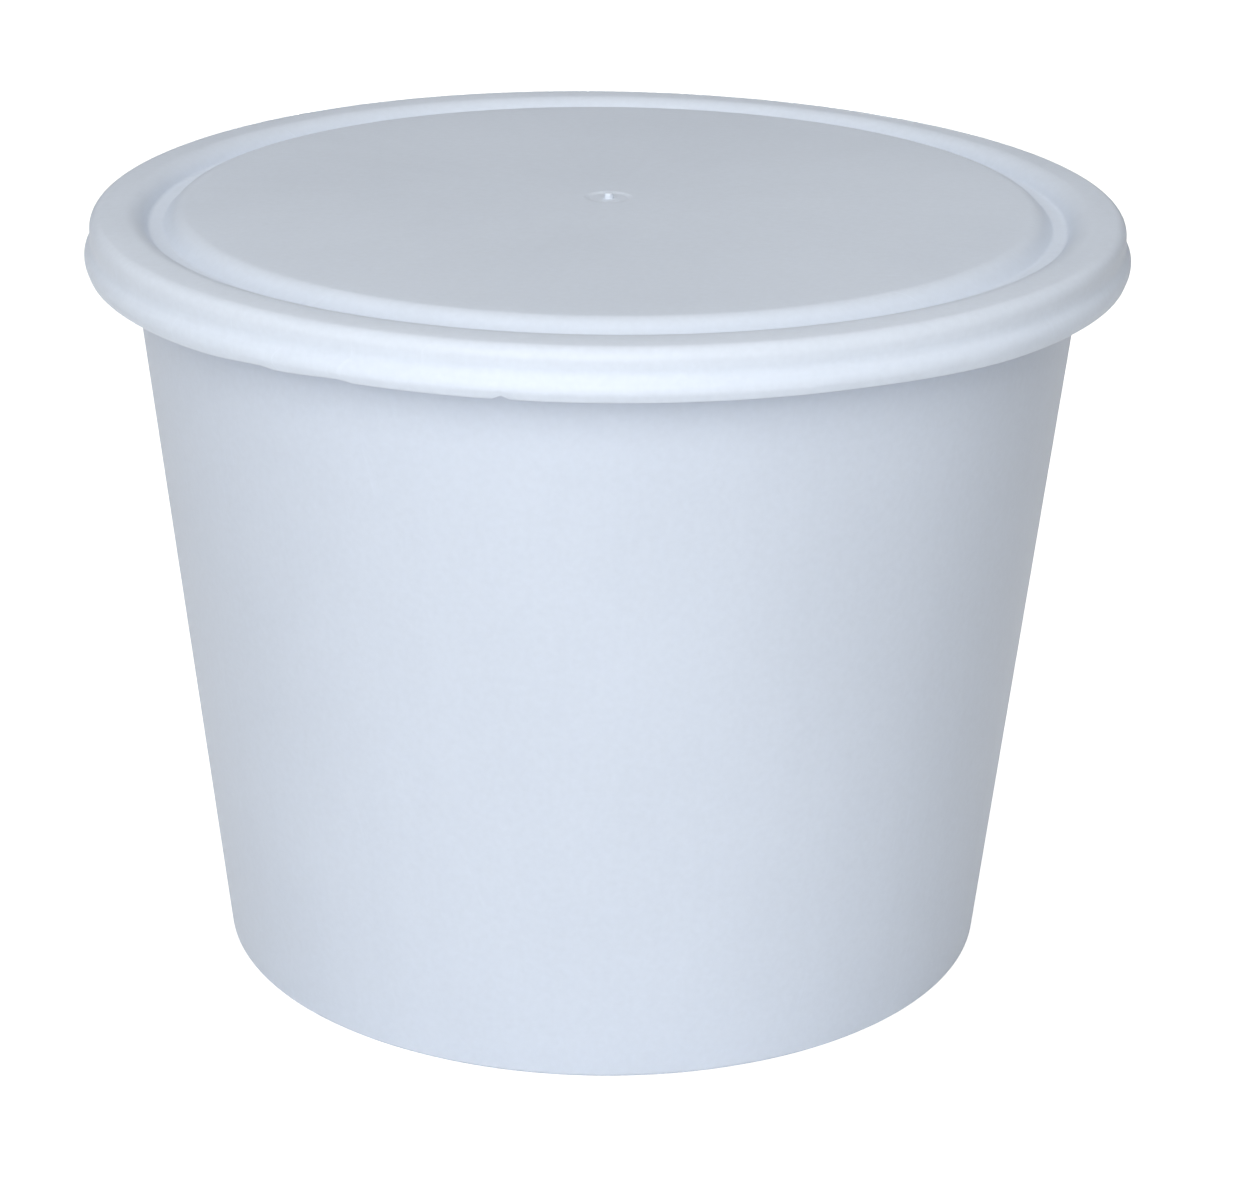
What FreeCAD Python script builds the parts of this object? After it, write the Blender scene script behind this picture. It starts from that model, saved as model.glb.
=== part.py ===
import FreeCAD, Part
import math
import os
from collections import namedtuple

# A shut round food tub with its press-on lid, in millimetres.
# The origin is the centre of the foot, on the surface the tub stands on, with +Z up.
# Both pieces are turnings: a section of (radius, height) corners is revolved once round
# the Z axis.  The shut tub is solid inside.  The lid is a thin moulding of its own, which
# rests on the tub's rim, hangs a groove in its mouth and snaps in under the rim's lip.

# The tub
TUB_HEIGHT = 106.2        # foot to the flat top of the rim
FOOT_RADIUS = 54.9        # outside of the wall, carried down to the foot's plane
WALL_DRAFT = 6.05         # degrees that the wall leans out from upright
TUB_WALL = 0.9            # thickness of the wall at the mouth
FOOT_CORNER = 1.6         # rounding between the wall and the foot
FOOT_RING = 3.2           # width of the ring that the tub stands on
FOOT_INNER_ROUND = 0.5    # rounding of the ring's inner edge
RECESS_HEIGHT = 1.3       # height of the base's middle above the ring
RECESS_SLOPE = 35.0       # degrees from level, the side of the recess
RECESS_BEND = 1.5         # rounding at the top of that side
BASE_GATE_RADIUS = 1.6    # mould gate mark at the middle of the base
BASE_GATE_DROP = 0.4      # how far that mark hangs down in the recess
RIM_OVERHANG = 4.0        # how far the rim stands out from the wall
RIM_PLATE = 1.2           # thickness of the rim
RIM_OUTER_ROUND = 0.8     # rounding of the rim's upper outer edge
RIM_INNER_ROUND = 0.8     # rounding of the rim's upper inner edge
RIM_ROOT = 1.5            # rounding between the wall and the rim's underside
LIP_WALL = 1.1            # thickness of the rim's downturned lip
LIP_DROP = 1.8            # the lip's lower edge below the rim's top
LIP_EDGE = 0.45           # rounding of the lip's edges

# The lid
LID_WALL = 1.0            # thickness of the lid, except in its skirt
PANEL_RISE = 0.05         # the panel's edge above the brim's top
PANEL_CROWN = 0.35        # rise of the panel from its edge to its centre
PANEL_SHOULDER = 4.5      # rounding of the panel's edge
PANEL_SLOPE = 48.0        # degrees from level, the groove's inner wall
GROOVE_DEPTH = 2.2        # the groove's floor below the brim's top
GROOVE_FLOOR_WIDTH = 2.0  # the groove's floor, between the feet of its two walls
GROOVE_BEND = 0.7         # rounding at the feet of the groove's walls
PLUG_SLOPE = 58.0         # degrees from level, the groove's outer wall, in the mouth
PLUG_FOOT_ROUND = 1.6     # rounding of the plug's foot, which leads it into the mouth
BRIM_INNER_ROUND = 3.6    # rounding of the brim's inner edge
BRIM_FALL = 0.3           # how far the brim's top falls towards its outer edge
BRIM_OUTER_ROUND = 1.4    # rounding of the brim's outer edge
CHANNEL_ROUND = 0.5       # rounding inside the channel that holds the rim
NECK_DROP = 3.6           # the skirt's narrowest place below the brim's top
NECK_INSET = 0.3          # how far the skirt draws in there
NECK_ROUND = 2.0          # rounding at the neck
FLARE = 0.85              # how far the skirt's foot stands out past the brim
FLARE_DROP = 4.9          # the foot's upper edge below the brim's top
FLARE_ROUND = 2.0         # rounding of the foot's upper edge
FLARE_TAPER = 0.12        # how far the foot's outer face leans out on its way down
BELLY_DROP = 5.9          # the foot's widest place below the brim's top
BELLY_ROUND = 2.5         # rounding there
SKIRT_DROP = 7.4          # the lid's lower edge below the brim's top
FOOT_TURN_IN = 0.55       # how far the foot draws in again under its widest place
FOOT_WALL = 0.65          # thickness of the foot at its lower edge
SKIRT_FOOT_ROUND = 0.3    # rounding of the foot's lower edges
SNAP_HOOK = 0.45          # how far the snap ridge reaches in under the lip
SNAP_DROP = 0.5           # the ridge's crest below the lip's lower edge
SNAP_ROUND = 0.35         # rounding of the crest
LEAD_IN_ROUND = 0.6       # rounding where the lead-in meets the foot's inner face
GATE_WELL_RADIUS = 3.4    # shallow round well at the panel's centre
GATE_WELL_DEPTH = 0.17    # the well's floor below the panel
GATE_WELL_SIDE = 0.8      # width of the well's sloping side
GATE_WELL_ROUND = 0.9     # rounding at the top and the foot of that side
GATE_STUB_RADIUS = 0.58   # stub that the mould's gate leaves in the well
GATE_STUB_HEIGHT = 0.75   # height of the stub above the well's floor
GATE_STUB_TAPER = 0.08    # how much wider the stub is at its foot
GATE_STUB_ROUND = 0.25    # rounding of the stub's top edge

# The fits between the two
PLUG_CLEARANCE = 1.2      # the groove's outer wall to the mouth, where it hangs free
LIP_CLEARANCE = 0.15      # the skirt to the rim's outside
FILL_CLEARANCE = 0.5      # the groove's underside to the solid inside of the tub

AXIS = 0.0
TOUCHING = 1.0e-6         # nearer than this, two arcs meet with no run between them

# A corner of a section.  The run that leaves it is straight, or domed: then it is level
# where it is nearest the axis and falls away, or rises, as the square of the distance.
Corner = namedtuple("Corner", "radius height rounding domed", defaults=(0.0, False))


def slope_run(height, slope):
    """Radial length of a wall of this height that leans at slope degrees from level."""
    return height / math.tan(math.radians(slope))


def bend_shift(slope):
    """Radial distance between the corners of the lid's two faces where it bends."""
    return LID_WALL * math.tan(math.radians(slope) / 2.0)


def wall_radius(height):
    """Outside radius of the tub's wall at a height."""
    return FOOT_RADIUS + height * math.tan(math.radians(WALL_DRAFT))


def mouth_radius(height):
    """Inside radius of the tub's wall at a height."""
    return wall_radius(height) - TUB_WALL


# Heights and radii that both pieces share
RIM_RADIUS = wall_radius(TUB_HEIGHT) + RIM_OVERHANG
LIP_BOTTOM = TUB_HEIGHT - LIP_DROP
BRIM_TOP = TUB_HEIGHT + LID_WALL
GROOVE_FLOOR = BRIM_TOP - GROOVE_DEPTH
GROOVE_UNDERSIDE = GROOVE_FLOOR - LID_WALL
SEAT_FOOT_RADIUS = mouth_radius(GROOVE_UNDERSIDE)
SEAT_RUN = slope_run(TUB_HEIGHT - GROOVE_UNDERSIDE, PLUG_SLOPE)

# The mouth's edge is rounded off at least as far out as the lid bends down beside it
LID_BEND_ROUND = BRIM_INNER_ROUND - LID_WALL
ROUND_FREED = PLUG_CLEARANCE / math.tan(math.radians(PLUG_SLOPE) / 2.0)
MOUTH_ROUND = max(RIM_INNER_ROUND, LID_BEND_ROUND - ROUND_FREED)


def vector(corner):
    return FreeCAD.Vector(corner.radius, 0.0, corner.height)


def wanted_reach(before, corner, after, rounding):
    """Distance from a corner to either end of the arc that rounds it."""
    half_angle = (before - corner).getAngle(after - corner) / 2.0
    return rounding / math.tan(half_angle)


def arc_reaches(points, roundings):
    """How far each corner's arc reaches along its two runs.

    Where two arcs want more than the run between them, both are drawn in alike.
    """
    wanted = []
    shares = []
    for index, point in enumerate(points):
        following = points[(index + 1) % len(points)]
        wanted.append(wanted_reach(points[index - 1], point, following, roundings[index]))
    for index, point in enumerate(points):
        following = (index + 1) % len(points)
        claimed = wanted[index] + wanted[following]
        run = point.distanceToPoint(points[following])
        shares.append(min(1.0, run / claimed) if claimed > 0.0 else 1.0)
    return [reach * min(shares[index - 1], shares[index]) for index, reach in enumerate(wanted)]


def corner_arc(before, corner, after, reach):
    """Start, middle and end of the arc that rounds a corner and reaches so far from it."""
    to_before = (before - corner).normalize()
    to_after = (after - corner).normalize()
    half_angle = to_before.getAngle(to_after) / 2.0
    depth = reach / math.cos(half_angle) * (1.0 - math.sin(half_angle))
    inward = (to_before + to_after).normalize()
    return corner + to_before * reach, corner + inward * depth, corner + to_after * reach


def run_edge(start, end, domed):
    """A straight run, or a parabola that is level at the end nearer the axis."""
    if not domed:
        return Part.makeLine(start, end)
    inner = min(start, end, key=lambda point: point.x)
    parabola = Part.BezierCurve()
    parabola.setPoles([start, FreeCAD.Vector((start.x + end.x) / 2.0, 0.0, inner.z), end])
    return parabola.toShape()


def section_wire(corners):
    """The closed wire round a section: runs from corner to corner, with rounded corners."""
    points = [vector(corner) for corner in corners]
    reaches = arc_reaches(points, [corner.rounding for corner in corners])
    arcs = []
    for index, point in enumerate(points):
        following = points[(index + 1) % len(points)]
        arc = (point, point, point)
        if reaches[index] > 0.0:
            arc = corner_arc(points[index - 1], point, following, reaches[index])
        arcs.append(arc)
    edges = []
    for index, corner in enumerate(corners):
        start, middle, end = arcs[index]
        next_start = arcs[(index + 1) % len(corners)][0]
        if corner.rounding > 0.0:
            edges.append(Part.Arc(start, middle, end).toShape())
        if end.distanceToPoint(next_start) > TOUCHING:
            edges.append(run_edge(end, next_start, corner.domed))
    return Part.Wire(edges)


def turned(corners):
    """The solid that a section makes when it is revolved once round the Z axis."""
    face = Part.Face(section_wire(corners))
    return face.revolve(FreeCAD.Vector(0, 0, 0), FreeCAD.Vector(0, 0, 1), 360.0)


def foot_corners():
    """The base from its middle to the wall: gate mark, recess and the ring it stands on."""
    ring_inner = FOOT_RADIUS - FOOT_CORNER - FOOT_RING
    recess_edge = ring_inner - slope_run(RECESS_HEIGHT, RECESS_SLOPE)
    return [
        Corner(AXIS, RECESS_HEIGHT - BASE_GATE_DROP, domed=True),
        Corner(BASE_GATE_RADIUS, RECESS_HEIGHT),
        Corner(recess_edge, RECESS_HEIGHT, RECESS_BEND),
        Corner(ring_inner, 0.0, FOOT_INNER_ROUND),
        Corner(FOOT_RADIUS, 0.0, FOOT_CORNER),
    ]


def rim_corners():
    """The rim from the wall outwards: underside, downturned lip, flat top."""
    underside = TUB_HEIGHT - RIM_PLATE
    lip_inner = RIM_RADIUS - LIP_WALL
    return [
        Corner(wall_radius(underside), underside, RIM_ROOT),
        Corner(lip_inner, underside, LIP_EDGE),
        Corner(lip_inner, LIP_BOTTOM, LIP_EDGE),
        Corner(RIM_RADIUS, LIP_BOTTOM, LIP_EDGE),
        Corner(RIM_RADIUS, TUB_HEIGHT, RIM_OUTER_ROUND),
    ]


def mouth_corners():
    """The mouth: the sloping seat of the lid's plug, then the solid inside."""
    fill_top = GROOVE_UNDERSIDE - FILL_CLEARANCE
    return [
        Corner(SEAT_FOOT_RADIUS + SEAT_RUN, TUB_HEIGHT, MOUTH_ROUND),
        Corner(SEAT_FOOT_RADIUS, GROOVE_UNDERSIDE),
        Corner(mouth_radius(fill_top), fill_top),
        Corner(AXIS, fill_top),
    ]


def make_tub():
    return turned(foot_corners() + rim_corners() + mouth_corners())


def gate_corners(panel_centre):
    """The stub and the well at the panel's centre, from the axis outwards."""
    floor = panel_centre - GATE_WELL_DEPTH
    stub_top = floor + GATE_STUB_HEIGHT
    return [
        Corner(AXIS, stub_top),
        Corner(GATE_STUB_RADIUS, stub_top, GATE_STUB_ROUND),
        Corner(GATE_STUB_RADIUS + GATE_STUB_TAPER, floor),
        Corner(GATE_WELL_RADIUS - GATE_WELL_SIDE, floor, GATE_WELL_ROUND),
        Corner(GATE_WELL_RADIUS, panel_centre, GATE_WELL_ROUND, domed=True),
    ]


def lid_outer_corners():
    """The lid's upper and outer face, from the panel's centre to the skirt's foot."""
    panel_edge = BRIM_TOP + PANEL_RISE
    plug_foot = SEAT_FOOT_RADIUS - PLUG_CLEARANCE
    groove_outer = plug_foot - bend_shift(PLUG_SLOPE)
    groove_inner = groove_outer - GROOVE_FLOOR_WIDTH
    panel_radius = groove_inner - slope_run(panel_edge - GROOVE_FLOOR, PANEL_SLOPE)
    brim_inner = groove_outer + slope_run(GROOVE_DEPTH, PLUG_SLOPE)
    brim_outer = RIM_RADIUS + LIP_CLEARANCE + LID_WALL
    foot_outer = brim_outer + FLARE
    return gate_corners(panel_edge + PANEL_CROWN) + [
        Corner(panel_radius, panel_edge, PANEL_SHOULDER),
        Corner(groove_inner, GROOVE_FLOOR, GROOVE_BEND),
        Corner(groove_outer, GROOVE_FLOOR, GROOVE_BEND),
        Corner(brim_inner, BRIM_TOP, BRIM_INNER_ROUND),
        Corner(brim_outer, BRIM_TOP - BRIM_FALL, BRIM_OUTER_ROUND),
        Corner(brim_outer - NECK_INSET, BRIM_TOP - NECK_DROP, NECK_ROUND),
        Corner(foot_outer - FLARE_TAPER, BRIM_TOP - FLARE_DROP, FLARE_ROUND),
        Corner(foot_outer, BRIM_TOP - BELLY_DROP, BELLY_ROUND),
        Corner(foot_outer - FOOT_TURN_IN, BRIM_TOP - SKIRT_DROP, SKIRT_FOOT_ROUND),
    ]


def lid_inner_corners():
    """The lid's inner and under face, from the skirt's foot back to the centre."""
    channel = RIM_RADIUS + LIP_CLEARANCE
    foot_inner = channel + LID_WALL + FLARE - FOOT_TURN_IN - FOOT_WALL
    crest = RIM_RADIUS - SNAP_HOOK
    crest_height = LIP_BOTTOM - SNAP_DROP
    plug_foot = SEAT_FOOT_RADIUS - PLUG_CLEARANCE
    groove_inner = plug_foot - bend_shift(PLUG_SLOPE) - GROOVE_FLOOR_WIDTH - bend_shift(PANEL_SLOPE)
    panel_edge = TUB_HEIGHT + PANEL_RISE
    panel_radius = groove_inner - slope_run(panel_edge - GROOVE_UNDERSIDE, PANEL_SLOPE)
    return [
        Corner(foot_inner, BRIM_TOP - SKIRT_DROP, SKIRT_FOOT_ROUND),
        Corner(foot_inner, crest_height - (foot_inner - crest), LEAD_IN_ROUND),
        Corner(crest, crest_height, SNAP_ROUND),
        Corner(channel, crest_height + (channel - crest), CHANNEL_ROUND),
        Corner(channel, TUB_HEIGHT, CHANNEL_ROUND),
        Corner(plug_foot + SEAT_RUN, TUB_HEIGHT, LID_BEND_ROUND),
        Corner(plug_foot, GROOVE_UNDERSIDE, PLUG_FOOT_ROUND),
        Corner(groove_inner, GROOVE_UNDERSIDE, GROOVE_BEND + LID_WALL),
        Corner(panel_radius, panel_edge, PANEL_SHOULDER - LID_WALL, domed=True),
        Corner(AXIS, panel_edge + PANEL_CROWN),
    ]


def make_lid():
    return turned(lid_outer_corners() + lid_inner_corners())


def report(name, solid):
    box = solid.optimalBoundingBox(False, False)
    print(
        f"{name}: valid {solid.isValid()}, {solid.Volume / 1000.0:.1f} cm3, "
        f"{box.XLength:.2f} across, from {box.ZMin:.2f} to {box.ZMax:.2f} high"
    )


os.makedirs("parts", exist_ok=True)
for name, solid in (("tub", make_tub()), ("lid", make_lid())):
    report(name, solid)
    solid.exportStep(f"parts/{name}.step")
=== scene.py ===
# %% [markdown]
# # A shut food tub in milky plastic
#
# The object is a round tub of thin white polypropylene with a press-on lid.  Both pieces were
# moulded by injection, so everything on them is round: a tapered wall, a flat rim, a raised
# panel, a groove, a flared skirt.  What makes such a plain thing look real is the exact run of
# its section, the small roundings, the soft depth of the plastic, and the slight unevenness
# that a thin moulding keeps when it cools.
#
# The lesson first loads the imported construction, which is a fixed frame: it says where each
# piece is and how large.  Each shape is then worked out in millimetres, as on a maker's
# drawing, and turned into metres only when its mesh is made.  The origin is the centre of the
# foot, on the surface that the tub stands on, and +Z is up.

# %% Load the frame and read its sizes
import math

import bpy
import numpy as np
from mathutils import Matrix, Vector


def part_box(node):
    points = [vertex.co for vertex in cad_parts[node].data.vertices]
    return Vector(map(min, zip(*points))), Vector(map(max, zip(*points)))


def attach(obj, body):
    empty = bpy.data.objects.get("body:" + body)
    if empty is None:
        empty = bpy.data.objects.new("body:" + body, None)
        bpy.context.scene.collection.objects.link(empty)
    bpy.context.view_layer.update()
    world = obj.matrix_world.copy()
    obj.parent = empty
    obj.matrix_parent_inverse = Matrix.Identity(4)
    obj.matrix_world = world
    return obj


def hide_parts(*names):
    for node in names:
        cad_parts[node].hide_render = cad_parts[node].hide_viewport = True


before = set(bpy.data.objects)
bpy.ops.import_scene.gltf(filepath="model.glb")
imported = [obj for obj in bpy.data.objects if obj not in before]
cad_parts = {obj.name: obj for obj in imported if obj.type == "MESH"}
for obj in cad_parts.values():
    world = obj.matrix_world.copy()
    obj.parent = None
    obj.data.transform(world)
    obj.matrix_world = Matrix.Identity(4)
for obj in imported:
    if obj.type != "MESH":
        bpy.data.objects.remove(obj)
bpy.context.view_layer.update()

MM = 0.001
_, tub_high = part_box("tub")
lid_low, lid_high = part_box("lid")
RIM_TOP = tub_high.z / MM
RIM_RADIUS = tub_high.x / MM
SKIRT_BOTTOM = lid_low.z / MM
SKIRT_RADIUS = lid_high.x / MM
GATE_TOP = lid_high.z / MM
print(f"tub: rim {RIM_RADIUS:.2f} mm in radius, {RIM_TOP:.2f} mm up")
print(f"lid: skirt {SKIRT_RADIUS:.2f} mm in radius, from {SKIRT_BOTTOM:.2f} to {GATE_TOP:.2f} mm")

# %% [markdown]
# ## Rounded outlines
#
# A moulded section is a chain of straight runs, and no corner of it is sharp, because a sharp
# corner would tear when it leaves the mould.  Blender's Bevel modifier could round the corners
# of a turned mesh, but each corner here has a radius of its own.  So the roundings are worked
# out in the section, before it is turned: each corner gives way to an arc of a circle that
# touches both of its runs.

# %% Round the corners of an outline
def rounded(corners, arc_points):
    """Points along an outline whose corners are rounded.

    corners is a list of (radius, height, rounding).  The arc in a corner starts and ends at
    its reach, rounding / tan(half the corner's angle), from it.  Where two reaches together
    are longer than their run, both are drawn in alike: each is multiplied by run / their sum.
    The arc's centre is on the line that halves the corner, and it is walked in equal angles.
    """
    corners = np.array(corners, float)
    points, rounding = corners[:, :2], corners[:, 2]
    to_before = np.roll(points, 1, axis=0) - points
    to_after = np.roll(points, -1, axis=0) - points
    before_length = np.linalg.norm(to_before, axis=1)
    after_length = np.linalg.norm(to_after, axis=1)
    to_before /= before_length[:, None]
    to_after /= after_length[:, None]
    half = np.arccos(np.clip((to_before * to_after).sum(axis=1), -1, 1)) / 2
    wanted = rounding / np.tan(half)
    share = np.minimum(1, after_length / np.maximum(wanted + np.roll(wanted, -1), 1e-9))
    reach = wanted * np.minimum(share, np.roll(share, 1))
    halving = to_before + to_after
    halving /= np.linalg.norm(halving, axis=1)[:, None]
    centre = points + halving * (reach / np.cos(half))[:, None]
    start = points + to_before * reach[:, None] - centre
    end = points + to_after * reach[:, None] - centre
    first = np.arctan2(start[:, 1], start[:, 0])
    sweep = (np.arctan2(end[:, 1], end[:, 0]) - first + math.pi) % (2 * math.pi) - math.pi
    angle = first[:, None] + sweep[:, None] * np.linspace(0, 1, arc_points)
    arc = np.stack([np.cos(angle), np.sin(angle)], axis=-1) * (reach * np.tan(half))[:, None, None]
    walked = (centre[:, None] + arc).reshape(-1, 2)
    moved = np.linalg.norm(np.diff(walked, axis=0), axis=1) > 1e-6
    return walked[np.append(True, moved)]


def divided(outline, longest):
    """The same outline, with every run cut into equal steps no longer than longest."""
    run = np.linalg.norm(np.diff(outline, axis=0), axis=1)
    steps = np.ceil(run / longest).astype(int)
    place = np.concatenate([i + np.arange(n) / n for i, n in enumerate(steps)] + [[len(steps)]])
    index = np.arange(len(outline))
    return np.column_stack([np.interp(place, index, outline[:, k]) for k in (0, 1)])


# %% [markdown]
# ## Turning an outline into a piece
#
# A lathe, or Blender's Screw modifier, would turn the outline round the axis.  Here the same
# grid is worked out as two arrays, one row for each point of the outline and one column for
# each direction round the axis, because a grid can be bent a little before it becomes a mesh:
# real thin mouldings are never quite flat or round.  The two ends of the outline lie on the
# axis, so each of them becomes one vertex with a fan of triangles round it, and the last
# column of faces joins the first.  The shape is closed, with no seam and no hole.

# %% Turn an outline round the axis
COLUMNS = 420


def turned_grid(outline):
    """Radius, direction and height of every grid point of a turned outline, as arrays."""
    direction = np.arange(COLUMNS) * (2 * math.pi / COLUMNS)
    radius = np.repeat(outline[:, :1], COLUMNS, axis=1)
    height = np.repeat(outline[:, 1:], COLUMNS, axis=1)
    return radius, np.broadcast_to(direction, radius.shape), height


def mesh_from_grid(name, radius, direction, height):
    """A closed, smooth piece: x = radius * cos(direction), y = radius * sin(direction).

    The outline runs from the underside's centre outwards and back over the top, so that
    faces taken first round the axis and then along the outline point outwards.
    """
    place = np.stack([radius * np.cos(direction), radius * np.sin(direction), height], axis=-1)
    vertices = np.concatenate([place[0, :1], place[1:-1].reshape(-1, 3), place[-1, :1]]) * MM
    rows = len(place) - 2
    ring = 1 + np.arange(rows * COLUMNS).reshape(rows, COLUMNS)
    following = np.roll(ring, -1, axis=1)
    sides = np.stack([ring[:-1], following[:-1], following[1:], ring[1:]], axis=-1)
    bottom = np.stack([np.zeros(COLUMNS, int), following[0], ring[0]], axis=-1)
    top = np.stack([np.full(COLUMNS, len(vertices) - 1), ring[-1], following[-1]], axis=-1)
    mesh = bpy.data.meshes.new(name)
    mesh.from_pydata(vertices, [], sides.reshape(-1, 4).tolist() + bottom.tolist() + top.tolist())
    mesh.shade_smooth()
    piece = bpy.data.objects.new(name, mesh)
    bpy.context.scene.collection.objects.link(piece)
    print(f"{name}: {len(vertices)} vertices, {2 * sides[..., 0].size + 2 * COLUMNS} triangles")
    return piece


# %% [markdown]
# ## The tub
#
# The real tub is one moulding: a base that stands on a narrow ring, a wall that leans outwards
# so that empty tubs nest and leave the mould, and a flat rim with a small downturned lip for
# the lid to grip.  Shut and opaque as it is, nothing shows of its inside, so the visible
# surface stops in the mouth, under the lid.  The wall's lean, the rim's overhang and the
# frame's two sizes give the foot's radius.

# %% The tub's sizes, in millimetres and degrees
WALL_DRAFT = 6.05
RIM_OVERHANG = 4.0
TUB_WALL = 0.9
FOOT_RADIUS = RIM_RADIUS - RIM_OVERHANG - RIM_TOP * math.tan(math.radians(WALL_DRAFT))
FOOT_CORNER = 0.9
FOOT_RING = 4.8
RING_EDGE = 0.5
RECESS_HEIGHT = 1.3
RECESS_SIDE = 1.9
RECESS_BEND = 1.5
BASE_GATE_RADIUS = 1.6
BASE_GATE_DROP = 0.4
BASE_GATE_BEND = 0.6
RIM_PLATE = 1.2
RIM_ROOT = 1.5
RIM_EDGE = 0.8
LIP_WALL = 1.1
LIP_DROP = 1.8
LIP_EDGE = 0.45
MOUTH_DEPTH = 2.7
MOUTH_SIDE = 1.7


def wall_radius(height):
    """Outside radius of the tub's wall: the foot's radius plus height times the lean."""
    return FOOT_RADIUS + height * math.tan(math.radians(WALL_DRAFT))


print(f"tub: foot {FOOT_RADIUS:.2f} mm in radius")

# %% The tub's section, turned
underside = RIM_TOP - RIM_PLATE
lip_bottom = RIM_TOP - LIP_DROP
mouth_bottom = RIM_TOP - MOUTH_DEPTH
lip_inside = RIM_RADIUS - LIP_WALL
mouth_foot = wall_radius(mouth_bottom) - TUB_WALL
tub_outline = rounded(
    [
        (0.0, RECESS_HEIGHT - BASE_GATE_DROP, 0.0),
        (BASE_GATE_RADIUS, RECESS_HEIGHT, BASE_GATE_BEND),
        (FOOT_RADIUS - FOOT_RING - RECESS_SIDE, RECESS_HEIGHT, RECESS_BEND),
        (FOOT_RADIUS - FOOT_RING, 0.0, RING_EDGE),
        (FOOT_RADIUS, 0.0, FOOT_CORNER),
        (wall_radius(underside), underside, RIM_ROOT),
        (lip_inside, underside, LIP_EDGE),
        (lip_inside, lip_bottom, LIP_EDGE),
        (RIM_RADIUS, lip_bottom, LIP_EDGE),
        (RIM_RADIUS, RIM_TOP, RIM_EDGE),
        (mouth_foot + MOUTH_SIDE, RIM_TOP, RIM_EDGE),
        (mouth_foot, mouth_bottom, 0.0),
        (0.0, mouth_bottom, 0.0),
    ],
    arc_points=9,
)
tub = mesh_from_grid("tub_body", *turned_grid(divided(tub_outline, longest=4.0)))

# %% [markdown]
# ## The lid
#
# The lid is a thin moulding of its own.  From its centre outwards it has a raised panel that
# is faintly crowned, a sloping shoulder, a groove whose outer wall plugs the tub's mouth, a
# flat brim that rests on the rim, and a skirt that draws in at a neck and then flares into a
# thicker foot, the part that a thumb pushes up.  Inside the foot a small ridge catches under
# the rim's lip.  The section is drawn from the underside's centre out to the skirt's foot and
# back over the top.

# %% The lid's sizes, in millimetres and degrees
LID_WALL = 1.0
PANEL_RISE = 0.05
PANEL_CROWN = 0.35
PANEL_SHOULDER = 2.8
PANEL_SLOPE = math.radians(48.0)
GROOVE_DEPTH = 2.2
GROOVE_FLOOR_WIDTH = 2.0
GROOVE_BEND = 0.7
PLUG_SLOPE = math.radians(58.0)
PLUG_FOOT_ROUND = 1.6
BRIM_INNER_ROUND = 3.6
BRIM_FALL = 0.3
BRIM_OUTER_ROUND = 1.7
NECK_DROP = 3.6
NECK_INSET = 0.14
NECK_ROUND = 2.0
FLARE_DROP = 4.9
FLARE_ROUND = 2.0
FLARE_TAPER = 0.12
BELLY_DROP = 5.9
BELLY_ROUND = 2.5
FOOT_TURN_IN = 0.55
FOOT_WALL = 0.65
SKIRT_EDGE = 0.3
SNAP_HOOK = 0.45
SNAP_DROP = 0.5
SNAP_ROUND = 0.35
LEAD_IN_ROUND = 0.6
CHANNEL_ROUND = 0.5
LIP_CLEARANCE = 0.15
PLUG_CLEARANCE = 1.2
WELL_RADIUS = 3.4
WELL_DEPTH = 0.17
WELL_SIDE = 0.8
WELL_ROUND = 0.9
STUB_RADIUS = 0.58
STUB_TAPER = 0.08
STUB_ROOT = 0.15
STUB_EDGE = 0.25

BRIM_TOP = RIM_TOP + LID_WALL
GROOVE_FLOOR = BRIM_TOP - GROOVE_DEPTH
GROOVE_UNDERSIDE = GROOVE_FLOOR - LID_WALL
PANEL_EDGE = BRIM_TOP + PANEL_RISE
WELL_FLOOR = PANEL_EDGE - WELL_DEPTH
CHANNEL = RIM_RADIUS + LIP_CLEARANCE
PLUG_FOOT = wall_radius(GROOVE_UNDERSIDE) - TUB_WALL - PLUG_CLEARANCE
GROOVE_OUTER = PLUG_FOOT - LID_WALL * math.tan(PLUG_SLOPE / 2)
GROOVE_INNER = GROOVE_OUTER - GROOVE_FLOOR_WIDTH
PANEL_RADIUS = GROOVE_INNER - (PANEL_EDGE - GROOVE_FLOOR) / math.tan(PANEL_SLOPE)
BRIM_INNER = GROOVE_OUTER + GROOVE_DEPTH / math.tan(PLUG_SLOPE)
BRIM_OUTER = CHANNEL + LID_WALL
print(f"panel {PANEL_RADIUS:.1f}, groove {GROOVE_INNER:.1f} to {GROOVE_OUTER:.1f}, "
      f"brim {BRIM_INNER:.1f} to {BRIM_OUTER:.1f} mm in radius")

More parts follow.
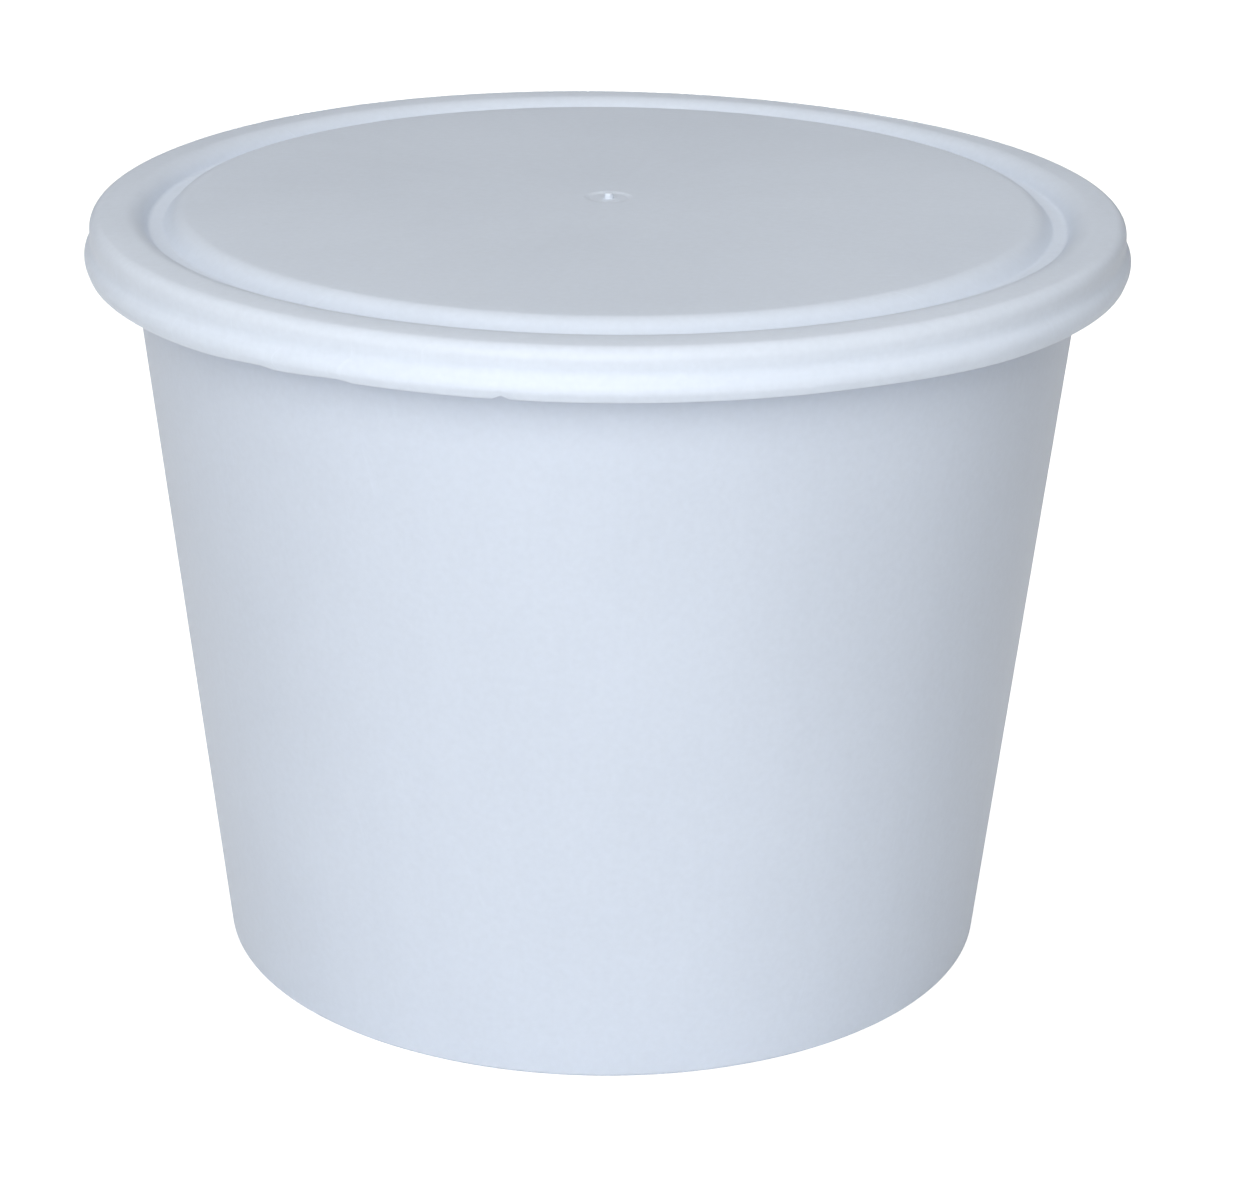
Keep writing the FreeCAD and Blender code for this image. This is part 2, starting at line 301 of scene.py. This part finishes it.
# %% The lid's section, turned
groove_inner_under = GROOVE_INNER - LID_WALL * math.tan(PANEL_SLOPE / 2)
panel_under = groove_inner_under - (PANEL_EDGE - GROOVE_FLOOR) / math.tan(PANEL_SLOPE)
crest = RIM_RADIUS - SNAP_HOOK
crest_height = lip_bottom - SNAP_DROP
foot_inside = SKIRT_RADIUS - FOOT_TURN_IN - FOOT_WALL
seat_run = (RIM_TOP - GROOVE_UNDERSIDE) / math.tan(PLUG_SLOPE)
lid_under = rounded(
    [
        (0.0, PANEL_EDGE - LID_WALL, 0.0),
        (panel_under, PANEL_EDGE - LID_WALL, PANEL_SHOULDER - LID_WALL),
        (groove_inner_under, GROOVE_UNDERSIDE, GROOVE_BEND + LID_WALL),
        (PLUG_FOOT, GROOVE_UNDERSIDE, PLUG_FOOT_ROUND),
        (PLUG_FOOT + seat_run, RIM_TOP, BRIM_INNER_ROUND - LID_WALL),
        (CHANNEL, RIM_TOP, CHANNEL_ROUND),
        (CHANNEL, crest_height + CHANNEL - crest, CHANNEL_ROUND),
        (crest, crest_height, SNAP_ROUND),
        (foot_inside, crest_height - (foot_inside - crest), LEAD_IN_ROUND),
        (foot_inside, SKIRT_BOTTOM, 0.0),
    ],
    arc_points=5,
)
lid_over = rounded(
    [
        (foot_inside, SKIRT_BOTTOM, SKIRT_EDGE),
        (SKIRT_RADIUS - FOOT_TURN_IN, SKIRT_BOTTOM, SKIRT_EDGE),
        (SKIRT_RADIUS, BRIM_TOP - BELLY_DROP, BELLY_ROUND),
        (SKIRT_RADIUS - FLARE_TAPER, BRIM_TOP - FLARE_DROP, FLARE_ROUND),
        (BRIM_OUTER - NECK_INSET, BRIM_TOP - NECK_DROP, NECK_ROUND),
        (BRIM_OUTER, BRIM_TOP - BRIM_FALL, BRIM_OUTER_ROUND),
        (BRIM_INNER, BRIM_TOP, BRIM_INNER_ROUND),
        (GROOVE_OUTER, GROOVE_FLOOR, GROOVE_BEND),
        (GROOVE_INNER, GROOVE_FLOOR, GROOVE_BEND),
        (PANEL_RADIUS, PANEL_EDGE, PANEL_SHOULDER),
        (WELL_RADIUS, PANEL_EDGE, WELL_ROUND),
        (WELL_RADIUS - WELL_SIDE, WELL_FLOOR, WELL_ROUND),
        (STUB_RADIUS + STUB_TAPER, WELL_FLOOR, STUB_ROOT),
        (STUB_RADIUS, GATE_TOP - PANEL_CROWN, STUB_EDGE),
        (0.0, GATE_TOP - PANEL_CROWN, 0.0),
    ],
    arc_points=11,
)
lid_outline = np.concatenate([divided(lid_under, longest=8.0), divided(lid_over, longest=2.5)])
radius, direction, height = turned_grid(lid_outline)
height = height + PANEL_CROWN * np.clip(1 - (radius / PANEL_RADIUS) ** 2, 0, None)

# %% [markdown]
# ## What the mould and the hand leave
#
# A thin lid comes out of its mould hot, and it cools unevenly.  Its edge ends a little oval,
# sinks by a quarter of a millimetre at the left and lifts by half a millimetre at the back:
# tilted down towards the front, bent like a saddle, and with a faint ripple of three waves.
# In front, where such a lid is levered open, the skirt's foot is worn short by half a
# millimetre, with two small steps at the left of the worn part and one nick.  Noise could bend
# the grid anywhere, but a few slow waves round the axis and three named marks are what the eye
# reads as one used lid.  The oval only draws the edge inwards, so the lid stays within its
# construction.  The bends grow with the square of the way from the groove to the brim's edge,
# so the panel stays flat.

# %% The lid's bends, in millimetres, and their places, in degrees round the axis
TILT = 0.25
SADDLE, SADDLE_TURN = 0.18, 230
RIPPLE, RIPPLE_TURN = 0.1, 330
OVAL, OVAL_TURN = 0.16, 148.969
FADE_START = 0.4
FADE_HEIGHT = 1.5
SHORT_FOOT = 0.5
SHORT_FROM, SHORT_TO = (232, 28), (305, 24)
STEP_HEIGHT = 0.25
STEPS = (234.0, 243.5)
STEP_BACK = 4.4
STEP_SLOPE, STEP_FACE = 8, 0.8
NICK_HEIGHT = 0.5
NICK_AT, NICK_WIDTH = 259.8, 0.5


def stepped(direction, degrees, width):
    """Goes smoothly from 0 to 1, over width degrees, as direction passes the angle."""
    t = np.clip((np.degrees(direction) - degrees) / width + 0.5, 0, 1)
    return t * t * (3 - 2 * t)


# %% Bend the lid's grid
towards_edge = np.clip((radius - GROOVE_INNER) / (BRIM_OUTER - GROOVE_INNER), 0, 1) ** 2
lift = TILT * np.sin(direction)
lift += SADDLE * np.cos(2 * direction - math.radians(SADDLE_TURN))
lift += RIPPLE * np.cos(3 * direction - math.radians(RIPPLE_TURN))
squeeze = OVAL * (1 + np.cos(2 * direction - math.radians(OVAL_TURN))) / 2
below_start = BRIM_TOP - BELLY_DROP + FADE_START - height
towards_foot = np.clip(below_start / FADE_HEIGHT, 0, 1) * (radius > CHANNEL)
trimmed = SHORT_FOOT * (stepped(direction, *SHORT_FROM) - stepped(direction, *SHORT_TO))
for degrees in STEPS:
    risen = stepped(direction, degrees - STEP_BACK, STEP_SLOPE)
    trimmed += STEP_HEIGHT * (risen - stepped(direction, degrees, STEP_FACE))
nick = NICK_HEIGHT * np.exp(-((np.degrees(direction) - NICK_AT) / NICK_WIDTH) ** 2)
height = height + towards_edge * lift + towards_foot * (trimmed + nick)
radius = radius - towards_edge * squeeze
print(f"lid: edge lifted {lift.min():.2f} to {lift.max():.2f} mm")
print(f"lid: foot short by up to {trimmed.max():.2f} mm")
lid = mesh_from_grid("lid_cover", radius, direction, height)

# %% [markdown]
# ## The plastic
#
# Both pieces are polypropylene with white pigment.  It is satin, not glossy, because the steel
# of the mould is finely blasted, and light goes a millimetre or two into it before it comes
# out again, which softens every edge.  Such a plain surface still varies in five ways, and
# each of them is one noise here: clouds a few centimetres wide where the pigment mixed
# unevenly, shallow sinks where it shrank, streaks that ran outwards from the gate while the
# melt flowed, the blasted grain, and short scuffs from stacking.  A picture could hold all
# that, but nodes on Object coordinates need no picture, have no seam, and stay sharp at any
# distance.
#
# The roughness and the bump come from the same noises as the colour, so a streak that is paler
# is also a little smoother.  Only the sinks show in the bump alone.  All heights are added up
# in metres, so the bump's distance is 1.

# %% Node helpers
def add_node(tree, kind, inputs=None, **settings):
    """Adds a node; inputs maps its sockets to values or to other nodes' outputs."""
    made = tree.nodes.new("ShaderNode" + kind)
    for name, value in settings.items():
        setattr(made, name, value)
    for name, value in (inputs or {}).items():
        if isinstance(value, bpy.types.NodeSocket):
            tree.links.new(value, made.inputs[name])
        else:
            made.inputs[name].default_value = value
    return made


def weighted_sum(tree, start, terms):
    """A socket with start + weight * socket, added up over all (socket, weight) terms."""
    total = start
    for socket, weight in terms:
        step = add_node(tree, "Math", {0: socket, 1: weight, 2: total}, operation="MULTIPLY_ADD")
        total = step.outputs[0]
    return total


def noise(tree, place, scale, detail, stretch=(1, 1, 1), turn=0.0):
    """Noise from -0.5 to 0.5, with scale cells a metre, stretched and turned about Z."""
    mapping = {"Vector": place, "Rotation": (0, 0, turn), "Scale": stretch}
    mapped = add_node(tree, "Mapping", mapping).outputs[0]
    made = add_node(tree, "TexNoise", {"Vector": mapped, "Scale": scale, "Detail": detail})
    return weighted_sum(tree, -0.5, [(made.outputs["Fac"], 1.0)])


# %% Flow streaks and scuffs
STREAKS_ROUND = 16.0
STREAK_DRIFT = 12.0
STREAKS_NONE, STREAKS_FULL = 0.005, 0.02
SCUFF_WIDTH = 0.0006
SCUFF_LENGTH = 0.018
SCUFF_START, SCUFF_FULL = 0.19, 0.27
SCUFF_TURNS = (0.5, 2.1)


def flow_streaks(tree, place):
    """Streaks that run away from the axis: noise of the heading, which changes slowly outwards.

    The noise is read at heading * STREAKS_ROUND + place * STREAK_DRIFT, where the heading is
    (x, y, 0) made one long.  Close to the axis all headings meet, so the streaks fade in
    from STREAKS_NONE to STREAKS_FULL metres away from it.
    """
    flat = add_node(tree, "VectorMath", {0: place, 1: (1, 1, 0)}, operation="MULTIPLY")
    heading = add_node(tree, "VectorMath", {0: flat.outputs[0]}, operation="NORMALIZE")
    drift = add_node(tree, "VectorMath", {0: place, 1: (STREAK_DRIFT,) * 3}, operation="MULTIPLY")
    spread = {0: heading.outputs[0], 1: (STREAKS_ROUND,) * 3, 2: drift.outputs[0]}
    along = add_node(tree, "VectorMath", spread, operation="MULTIPLY_ADD")
    streak = noise(tree, along.outputs[0], 1.0, 4.0)
    away = add_node(tree, "VectorMath", {0: flat.outputs[0]}, operation="LENGTH")
    reach = {0: away.outputs["Value"], 1: STREAKS_NONE, 2: STREAKS_FULL}
    fade = add_node(tree, "MapRange", reach, interpolation_type="SMOOTHSTEP")
    faded = add_node(tree, "Math", {0: streak, 1: fade.outputs[0]}, operation="MULTIPLY")
    return faded.outputs[0]


def scuffs(tree, place, turn):
    """0 on clean plastic and 1 in a scuff: the crests of a noise drawn out in one direction."""
    stretch = (1 / SCUFF_LENGTH, 1 / SCUFF_WIDTH, 1 / SCUFF_LENGTH)
    drawn = noise(tree, place, 1.0, 2.0, stretch, turn)
    crests = add_node(tree, "MapRange", {0: drawn, 1: SCUFF_START, 2: SCUFF_FULL})
    return crests.outputs[0]


# %% One plastic, in two colours that paint light and shade
DULL, BRIGHT = 0.945, 1.03
CLOUDS = 24.0
GRAIN = 1100.0
SINKS = 38.0
DEEP = 0.002
MILKINESS = 0.3
SATIN = 0.52
GLOSS_LEVEL = 0.4


def moulded_plastic(name, colour, worn):
    """Milky satin plastic; worn is how strongly its scuffs show.

    The colour goes from DULL times colour to BRIGHT times colour.  Its shade, the roughness
    and the height of the relief are each a start plus weight times noise, added up.
    """
    material = bpy.data.materials.new(name)
    material.use_nodes = True
    tree = material.node_tree
    shader = tree.nodes["Principled BSDF"]
    place = add_node(tree, "TexCoord").outputs["Object"]
    cloud = noise(tree, place, CLOUDS, 3.0)
    grain = noise(tree, place, GRAIN, 1.0)
    sink = noise(tree, place, SINKS, 1.0)
    streak = flow_streaks(tree, place)
    share = 1 / len(SCUFF_TURNS)
    scuff = weighted_sum(tree, 0.0, [(scuffs(tree, place, turn), share) for turn in SCUFF_TURNS])

    shade = weighted_sum(tree, 0.5, [(cloud, 1.3), (streak, 0.25), (scuff, worn), (grain, 0.7)])
    dull = tuple(DULL * c for c in colour)
    bright = tuple(BRIGHT * c for c in colour)
    mixed = add_node(tree, "Mix", {0: shade, 6: (*dull, 1), 7: (*bright, 1)}, data_type="RGBA")
    rough = weighted_sum(
        tree, SATIN, [(cloud, 0.14), (streak, -0.05), (scuff, 0.2 * worn), (grain, 0.1)])
    relief = weighted_sum(
        tree, 0.0, [(sink, 6e-5), (streak, 4e-6), (grain, 5e-6), (scuff, -3e-6 * worn)])
    bump = add_node(tree, "Bump", {"Height": relief, "Distance": 1.0, "Strength": 1.0})

    tree.links.new(mixed.outputs[2], shader.inputs["Base Color"])
    tree.links.new(rough, shader.inputs["Roughness"])
    tree.links.new(bump.outputs[0], shader.inputs["Normal"])
    shader.inputs["Specular IOR Level"].default_value = GLOSS_LEVEL
    shader.inputs["Subsurface Weight"].default_value = MILKINESS
    shader.inputs["Subsurface Radius"].default_value = (1.0, 1.0, 1.0)
    shader.inputs["Subsurface Scale"].default_value = DEEP
    print(f"{name}: colour {colour}, {len(tree.nodes)} nodes")
    return material


# %% [markdown]
# The lid's colour is a little lighter than the tub's, and the difference is painted light and
# shade in one plastic.  The lid gets painted light, because it is moulded from thicker stock and
# lies over the white of the rim.  The tub gets painted shade, because its thin wall lets some
# light through.  The lid takes the scuffs, since other tubs stand on it.

# %% The tub's and the lid's plastic
# One plastic: the lid's colour holds painted light and the tub's colour painted shade.
TUB_COLOUR_PAINTED_SHADE = (0.68, 0.744, 0.845)
LID_COLOUR_PAINTED_LIGHT = (0.74, 0.81, 0.92)
tub.data.materials.append(moulded_plastic("tub_plastic", TUB_COLOUR_PAINTED_SHADE, worn=0.4))
lid.data.materials.append(moulded_plastic("lid_plastic", LID_COLOUR_PAINTED_LIGHT, worn=0.7))

# %% [markdown]
# ## Riding on the frame
#
# The construction keeps a solid for each piece, for weight and collision, and the frame shows
# a finished piece in its place.  A piece could be parented by hand, and here a small helper
# parents each one to an empty for the frame's body and hides the construction's own mesh for it.
# The shut tub is one body, so both pieces ride on it.

# %% Attach the pieces to the frame
for piece, node in ((tub, "tub"), (lid, "lid")):
    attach(piece, "root")
    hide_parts(node)
    print(f"{piece.name} rides on root and stands for {node}")

# %% [markdown]
# ## Floor and backdrop
#
# The tub stands on a sheet of white paper that runs out of view, in a white studio.  The paper
# could be lit until it looks white, but that much light would wash out the white plastic.  So
# the lamps stay at a plain level, and the Light Path node adds a glow to the paper and the
# world only where the camera, a mirrored ray or a refracted ray meets them.  The paper's own
# diffuse share still takes the tub's shadow, and soft light in the plastic comes from the
# lamps and from a faint room light.  The paper lies a tenth of a millimetre below the tub's
# foot, because two faces in one plane would flicker.

# %% Helpers for the stage
scene = bpy.context.scene


def empty_tree(owner):
    """The node tree of a material or world, without the nodes that Blender puts into it."""
    owner.use_nodes = True
    owner.node_tree.nodes.clear()
    return owner.node_tree


def seen_directly(tree):
    """1 for rays from the camera and for mirrored or refracted ones, and 0 for soft light."""
    rays = add_node(tree, "LightPath").outputs
    kinds = [(rays["Is Camera Ray"], 1.0), (rays["Is Glossy Ray"], 1.0)]
    direct = weighted_sum(tree, 0.0, kinds)
    any_kind = {0: direct, 1: rays["Is Transmission Ray"]}
    return add_node(tree, "Math", any_kind, operation="ADD", use_clamp=True).outputs[0]


def flat_sheet(name, corners, material):
    """A flat piece with one face, whose corners are given in order."""
    mesh = bpy.data.meshes.new(name)
    mesh.from_pydata(corners, [], [(0, 1, 2, 3)])
    mesh.materials.append(material)
    sheet = bpy.data.objects.new(name, mesh)
    scene.collection.objects.link(sheet)
    return sheet


# %% Lay the paper
FLOOR_HALF = 3.0
FLOOR_DROP = 0.0001
PAPER = (0.8, 0.8, 0.8, 1)
WHITE = (1, 1, 1, 1)
PAPER_GLOW = 0.85
paper = bpy.data.materials.new("paper")
tree = empty_tree(paper)
lit = add_node(tree, "BsdfDiffuse", {"Color": PAPER})
strength = add_node(tree, "Math", {0: seen_directly(tree), 1: PAPER_GLOW}, operation="MULTIPLY")
glow = add_node(tree, "Emission", {"Color": WHITE, "Strength": strength.outputs[0]})
both = add_node(tree, "AddShader", {0: lit.outputs[0], 1: glow.outputs[0]})
add_node(tree, "OutputMaterial", {"Surface": both.outputs[0]})
quarters = ((-1, -1), (1, -1), (1, 1), (-1, 1))
floor_corners = [(x * FLOOR_HALF, y * FLOOR_HALF, -FLOOR_DROP) for x, y in quarters]
floor = flat_sheet("floor", floor_corners, paper)
print(f"paper: {2 * FLOOR_HALF} m wide, glow {PAPER_GLOW}")

# %% Light the world
ROOM_LIGHT = 0.06
scene.world = bpy.data.worlds.new("studio")
tree = empty_tree(scene.world)
room = add_node(tree, "Background", {"Color": WHITE, "Strength": ROOM_LIGHT})
white = add_node(tree, "Background", {"Color": WHITE, "Strength": 1.0})
choice = {0: seen_directly(tree), 1: room.outputs[0], 2: white.outputs[0]}
chosen = add_node(tree, "MixShader", choice)
add_node(tree, "OutputWorld", {"Surface": chosen.outputs[0]})
print(f"room light {ROOM_LIGHT}, white where it is seen")

# %% [markdown]
# ## A grey card behind
#
# White plastic on a white ground loses its far edge, because a flat surface seen at a low angle
# mirrors whatever stands behind it.  A studio hangs a grey card there, just above what the
# camera sees.  It shows only as a mirrored tone on the lid, so it is hidden from the camera in
# every view and casts no shadow.

# %% Hang the card
CARD_GREY = (0.04, 0.04, 0.04, 1)
CARD_AWAY = 0.5
CARD_HALF_WIDTH = 0.8
CARD_FOOT, CARD_HEAD = 0.06, 0.34
cardboard = bpy.data.materials.new("card")
tree = empty_tree(cardboard)
matt = add_node(tree, "BsdfDiffuse", {"Color": CARD_GREY})
add_node(tree, "OutputMaterial", {"Surface": matt.outputs[0]})
card_corners = [
    (-CARD_HALF_WIDTH, CARD_AWAY, CARD_FOOT),
    (CARD_HALF_WIDTH, CARD_AWAY, CARD_FOOT),
    (CARD_HALF_WIDTH, CARD_AWAY, CARD_HEAD),
    (-CARD_HALF_WIDTH, CARD_AWAY, CARD_HEAD),
]
card = flat_sheet("card", card_corners, cardboard)
card.visible_camera = False
card.visible_shadow = False
print(f"card: {CARD_AWAY} m behind, {CARD_FOOT} to {CARD_HEAD} m up")

# %% [markdown]
# ## The lamps
#
# A round white thing shows its shape only through how light fades round it.  A sun lamp would
# give hard edges under the skirt, and light from all round would give none.  Broad discs do
# what a window or a softbox does.  The key disc hangs in front, a little to the left and
# 30 degrees up, so the wall is brightest left of its middle and darkens to both sides.  Weak
# discs above, behind, beside and low in front fill the groove, the lid's flat faces, the side
# away from the key and the shadow under the skirt.  All of them aim at the middle of the tub.

# %% Hang the disc lamps
AIM = Vector((0, 0, 0.06))
LAMP_AWAY = 1.6


def lamp(name, azimuth, elevation, size, power):
    """A disc lamp, size metres across and of power watts, that faces the tub's middle.

    It hangs LAMP_AWAY metres off, azimuth degrees to the right of the front and elevation
    degrees up: in the direction (sin a * cos e, -cos a * cos e, sin e).
    """
    data = bpy.data.lights.new(name, "AREA")
    data.shape = "DISK"
    data.size = size
    data.energy = power
    made = bpy.data.objects.new(name, data)
    a, e = math.radians(azimuth), math.radians(elevation)
    away = Vector((math.sin(a) * math.cos(e), -math.cos(a) * math.cos(e), math.sin(e)))
    made.location = AIM + away * LAMP_AWAY
    made.rotation_mode = "QUATERNION"
    made.rotation_quaternion = away.to_track_quat("Z", "Y")
    scene.collection.objects.link(made)
    print(f"{name}: {power} W, {size} m across")


lamp("key", -9, 30, 1.3, 17.9)
lamp("low", -12, 4, 0.7, 4.0)
lamp("above", 0, 80, 0.8, 5.7)
lamp("behind", 180, 70, 0.7, 1.6)
lamp("beside", 75, 55, 0.7, 0.8)

# %% [markdown]
# ## A strip lamp behind
#
# With the discs alone, the back of the wall would be dark.  A softbox there would shine on the
# lid, so a narrow strip lamp stands low behind the tub and faces level along the table.  The
# camera doesn't see the strip itself.

# %% Stand the strip lamp behind the tub
STRIP_PLACE = (0, 1.2, 0.055)
STRIP_WIDTH, STRIP_HEIGHT = 0.4, 0.09
STRIP_POWER = 6.0
strip_data = bpy.data.lights.new("strip", "AREA")
strip_data.shape = "RECTANGLE"
strip_data.size = STRIP_WIDTH
strip_data.size_y = STRIP_HEIGHT
strip_data.energy = STRIP_POWER
strip = bpy.data.objects.new("strip", strip_data)
strip.location = STRIP_PLACE
strip.rotation_euler = (-math.pi / 2, 0, 0)
strip.visible_camera = False
scene.collection.objects.link(strip)
print(f"strip: {STRIP_POWER} W, {STRIP_WIDTH} m by {STRIP_HEIGHT} m")

# %% [markdown]
# ## The camera
#
# The camera stands in front, some 46 cm away and 22 cm up, and looks down by about 21 degrees,
# as one looks at a tub on a table.  A Track To constraint could aim it, but its small turn and
# tilt are known, so its three directions are worked out and written into its matrix.

# %% Place the camera
CAMERA_PLACE = (0, -0.45959, 0.22218)
LENS = 97.117
PITCH, YAW, ROLL = (math.radians(a) for a in (20.793, 0.448, 0.654))
camera_data = bpy.data.cameras.new("camera")
camera_data.lens = LENS
camera_data.clip_start = 0.01
camera_data.clip_end = 20
camera = bpy.data.objects.new("camera", camera_data)
ahead = math.cos(PITCH)
forward = Vector((math.sin(YAW) * ahead, math.cos(YAW) * ahead, -math.sin(PITCH)))
level = forward.cross(Vector((0, 0, 1))).normalized()
upright = level.cross(forward)
camera_x = math.cos(ROLL) * level + math.sin(ROLL) * upright
camera_y = -math.sin(ROLL) * level + math.cos(ROLL) * upright
turn = Matrix((camera_x, camera_y, -forward)).transposed()
camera.matrix_world = Matrix.Translation(CAMERA_PLACE) @ turn.to_4x4()
scene.collection.objects.link(camera)
scene.camera = camera
scene.view_settings.view_transform = "Standard"
print(f"camera: {LENS} mm lens, {camera.location.length:.3f} m from the origin")
